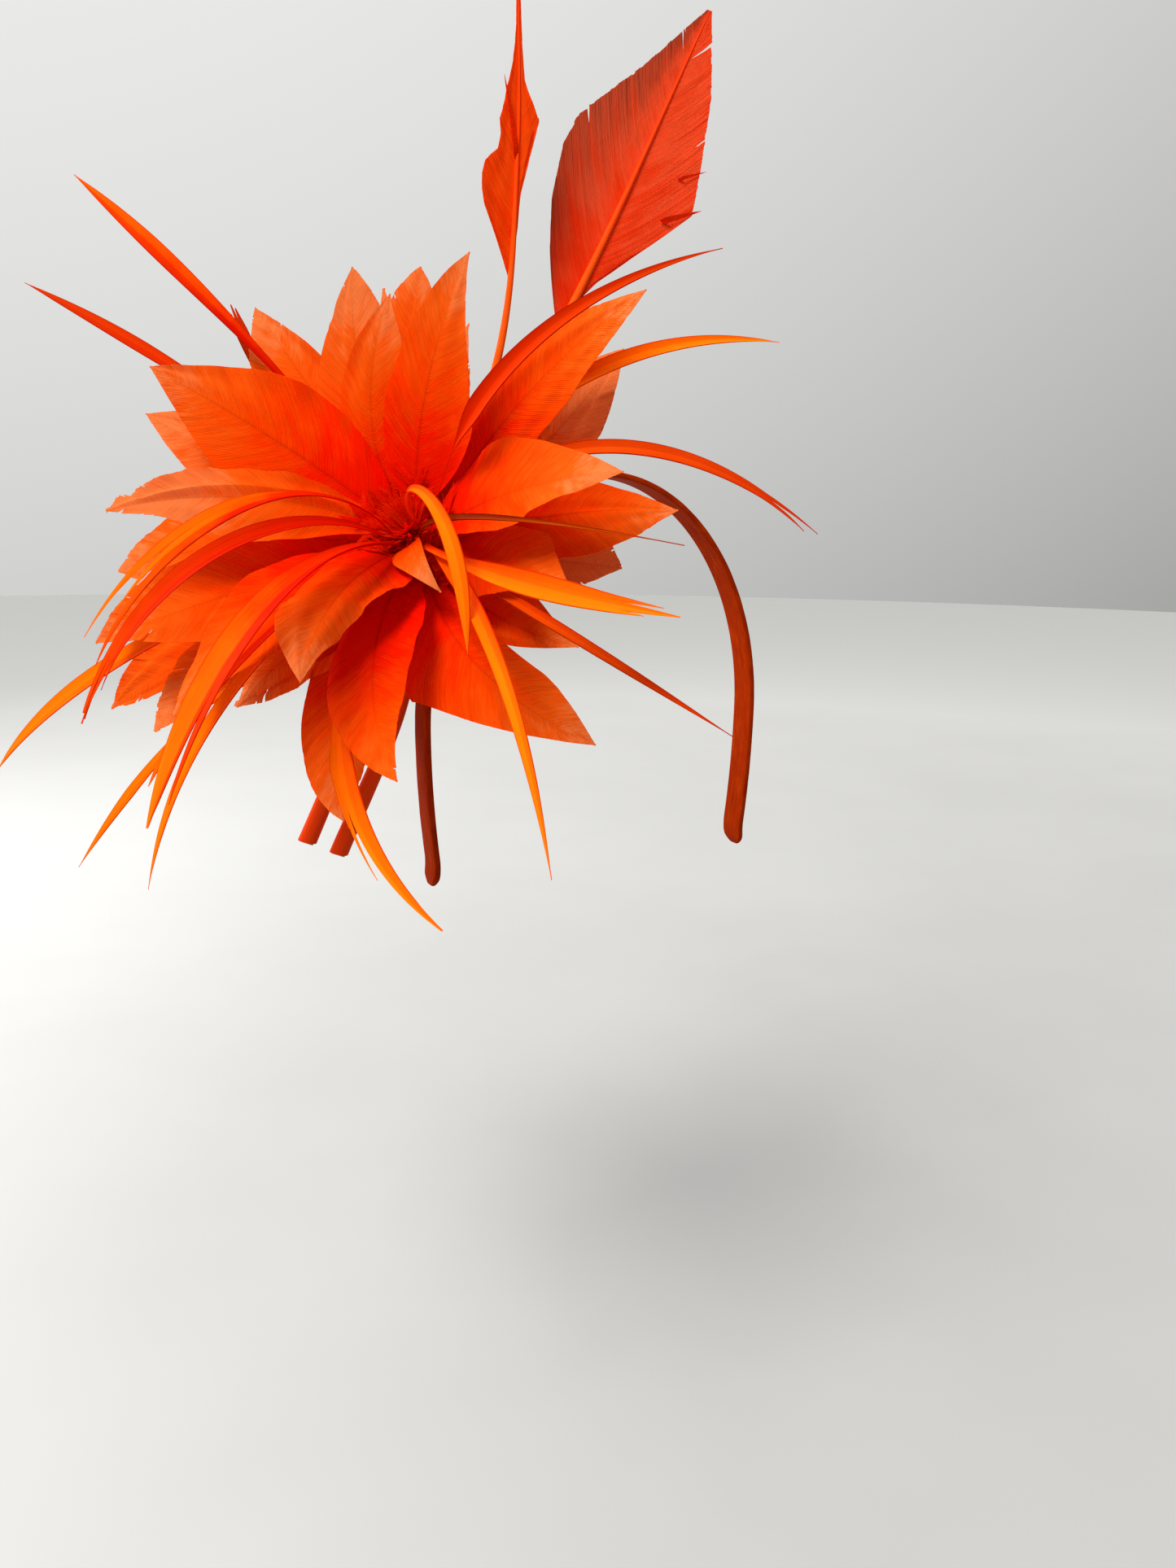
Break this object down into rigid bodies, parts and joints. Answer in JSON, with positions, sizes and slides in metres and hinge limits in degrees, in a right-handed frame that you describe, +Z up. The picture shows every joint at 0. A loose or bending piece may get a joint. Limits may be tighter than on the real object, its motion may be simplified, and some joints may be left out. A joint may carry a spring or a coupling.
{
  "type": "quill fascinator",
  "caption": "Flower of layered goose feathers with long biots and two tall quills, set to one side of a slim satin headband.",
  "frame": {"origin": "middle of the headband's inner face at the crown, where the band rests on the head", "axes": "+Z up along the wearer's upright head, -Y to the wearer's front, -X to the wearer's right, the flower's side"},
  "size_m": [0.2966, 0.2982, 0.3295],
  "materials": {
    "satin_rust": "satin ribbon",
    "felt_orange": "felt",
    "feather_orange": "dyed goose feather",
    "biot_orange": "dyed goose biot",
    "quill_coral": "dyed quill feather",
    "tuft_red": "dyed barbs"
  },
  "bodies": {
    "root": {"headband": "satin_rust", "feather_base": "felt_orange", "centre_tuft": "tuft_red", "front_petal_1": "feather_orange", "front_petal_2": "feather_orange", "front_petal_3": "feather_orange", "front_petal_4": "feather_orange", "front_petal_5": "feather_orange", "front_petal_6": "feather_orange", "front_petal_7": "feather_orange", "front_petal_8": "feather_orange", "middle_petal_1": "feather_orange", "middle_petal_2": "feather_orange", "middle_petal_3": "feather_orange", "middle_petal_4": "feather_orange", "middle_petal_5": "feather_orange", "middle_petal_6": "feather_orange", "middle_petal_7": "feather_orange", "middle_petal_8": "feather_orange", "middle_petal_9": "feather_orange", "middle_petal_10": "feather_orange", "back_petal_1": "feather_orange", "back_petal_2": "feather_orange", "back_petal_3": "feather_orange", "back_petal_4": "feather_orange", "back_petal_5": "feather_orange", "back_petal_6": "feather_orange", "back_petal_7": "feather_orange", "back_petal_8": "feather_orange", "back_petal_9": "feather_orange", "centre_petal": "feather_orange", "biot_1": "biot_orange", "biot_2": "biot_orange", "biot_3": "biot_orange", "biot_4": "biot_orange", "biot_5": "biot_orange", "biot_6": "biot_orange", "biot_7": "biot_orange", "biot_8": "biot_orange", "biot_9": "biot_orange", "biot_10": "biot_orange", "biot_11": "biot_orange", "biot_12": "biot_orange", "biot_13": "biot_orange", "biot_14": "biot_orange", "biot_15": "biot_orange", "biot_16": "biot_orange", "biot_17": "biot_orange", "biot_18": "biot_orange", "biot_19": "biot_orange", "broad_quill": "quill_coral", "slim_quill": "quill_coral"}
  },
  "joints": []
}
